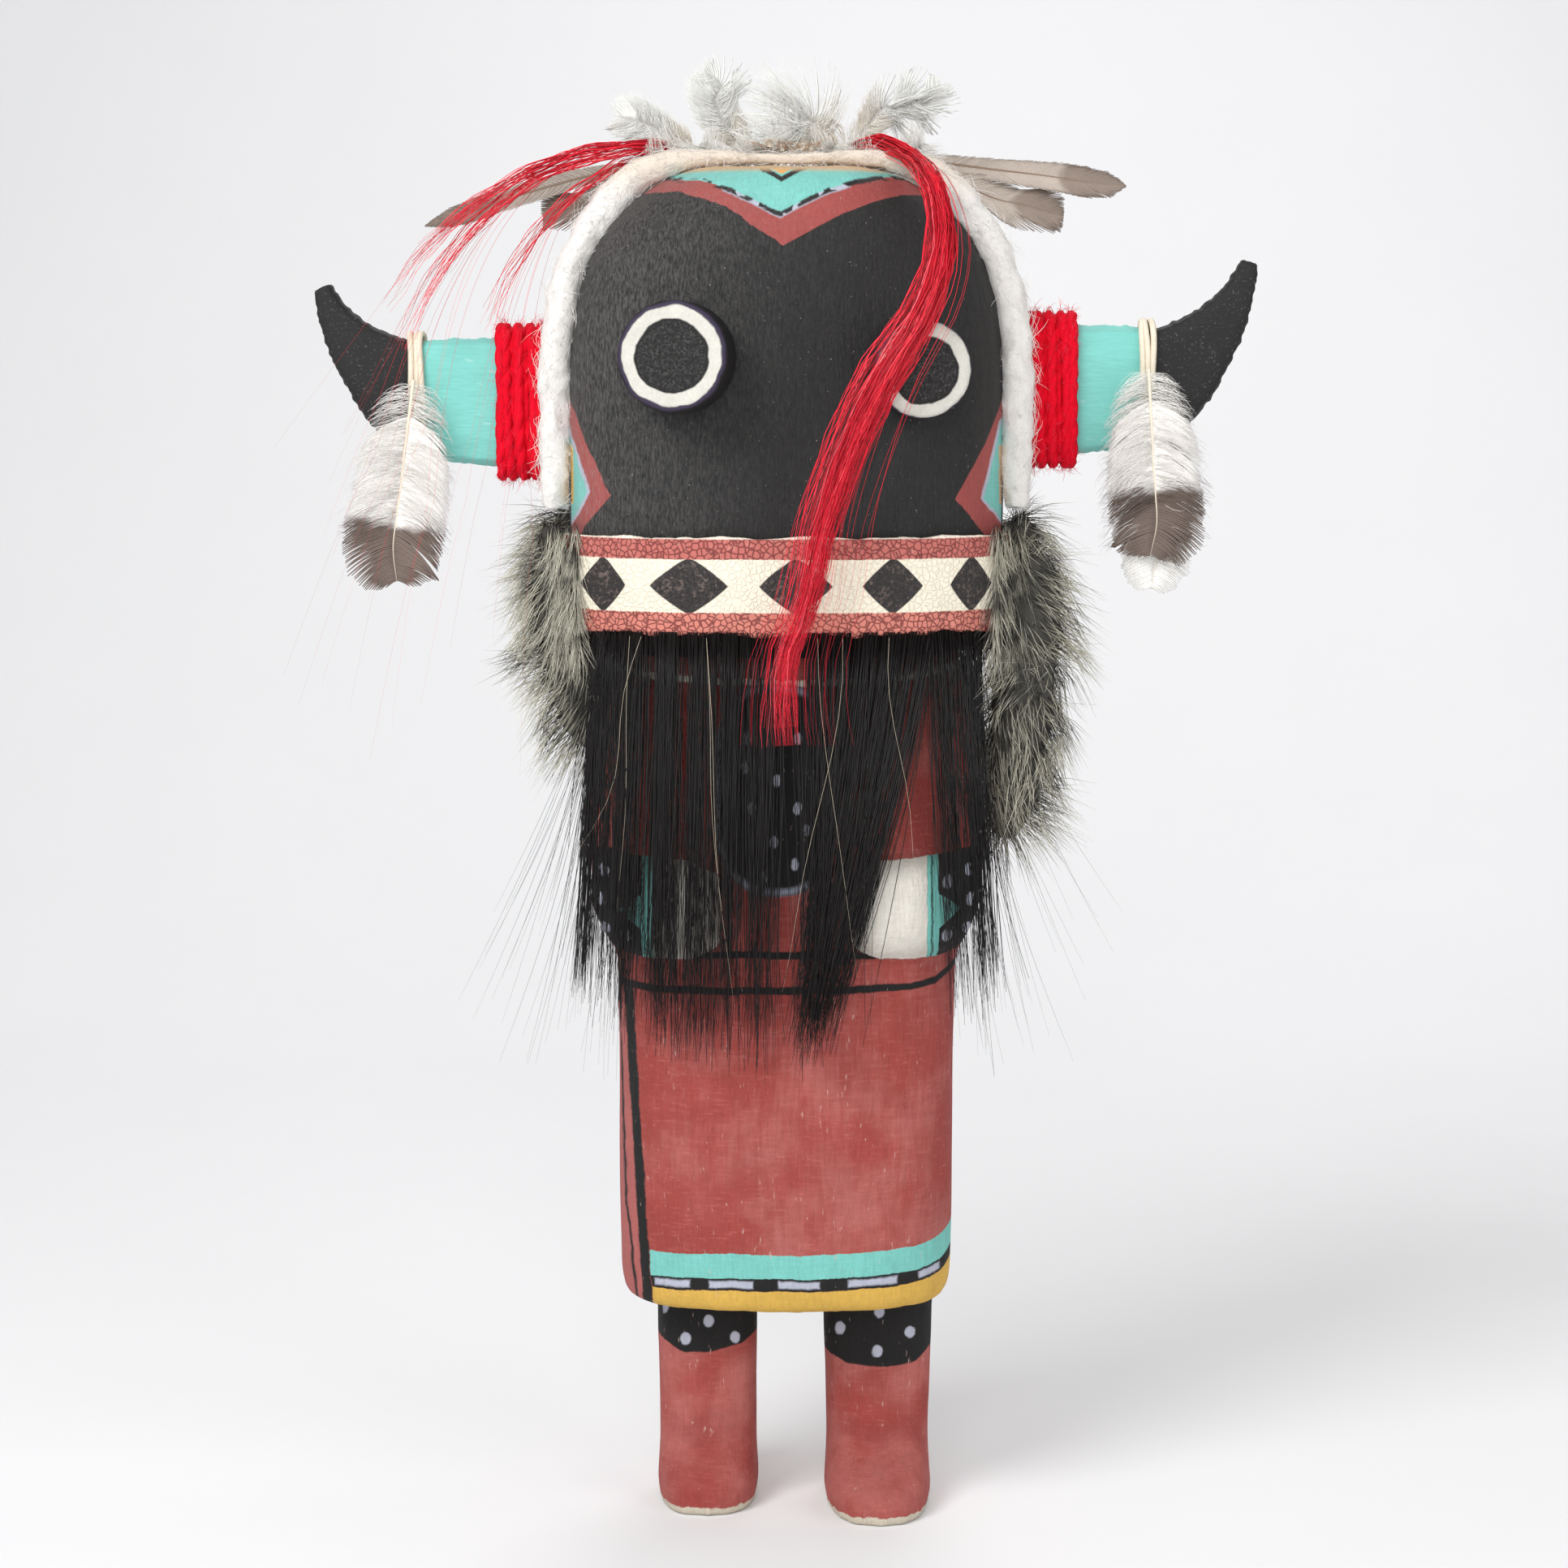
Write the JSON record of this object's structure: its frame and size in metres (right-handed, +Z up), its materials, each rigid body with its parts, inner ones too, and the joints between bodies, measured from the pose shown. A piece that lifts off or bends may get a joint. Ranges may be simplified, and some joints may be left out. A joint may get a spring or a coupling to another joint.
{
  "type": "kachina doll",
  "caption": "Standing carved and painted wooden doll with a horned mask, peg eyes, hair beard, fur ruff, dyed hair and feathers; it rests on its soles.",
  "frame": {"origin": "on the ground under the middle of the whole doll's outline in plan", "axes": "+Z up through the crown, -Y out of the face, +X to the doll's left"},
  "size_m": [0.1834, 0.0776, 0.2839],
  "materials": {
    "painted_wood": "matt mineral paint on carved wood: red robe and boots, black mask, worn lighter in streaks",
    "eye_paint": "matt black paint with a cream ring",
    "horn_paint": "matt turquoise paint with a black tip",
    "white_wool": "soft fluffy white cord",
    "red_yarn": "fuzzy crimson wool yarn",
    "painted_leather": "cream leather with crackled red-brown edges and black diamonds",
    "hide_thong": "pale soft hide",
    "horsehair": "glossy black hair",
    "red_hair": "dyed red hair",
    "fur": "grey-olive fur on a hide strip",
    "grey_feather": "brown-grey wing feather",
    "white_feather": "white and grey down"
  },
  "bodies": {
    "root": {"beard": "horsehair", "carved_figure": "painted_wood", "crest_feather_1": "white_feather", "crest_feather_2": "white_feather", "crest_feather_3": "white_feather", "crest_feather_4": "white_feather", "eye_peg_left": "eye_paint", "eye_peg_right": "eye_paint", "fur_ruff": "fur", "horn_feather_left_back": "white_feather", "horn_feather_left_front": "white_feather", "horn_feather_right": "white_feather", "horn_left": "horn_paint", "horn_right": "horn_paint", "horn_thong_left": "hide_thong", "horn_thong_right": "hide_thong", "horn_yarn_left": "red_yarn", "horn_yarn_right": "red_yarn", "mask_cord": "white_wool", "mouth_band": "painted_leather", "red_hair_front": "red_hair", "red_hair_side": "red_hair", "wing_feather_left_long": "grey_feather", "wing_feather_left_short": "grey_feather", "wing_feather_right_long": "grey_feather", "wing_feather_right_short": "grey_feather"}
  },
  "joints": []
}
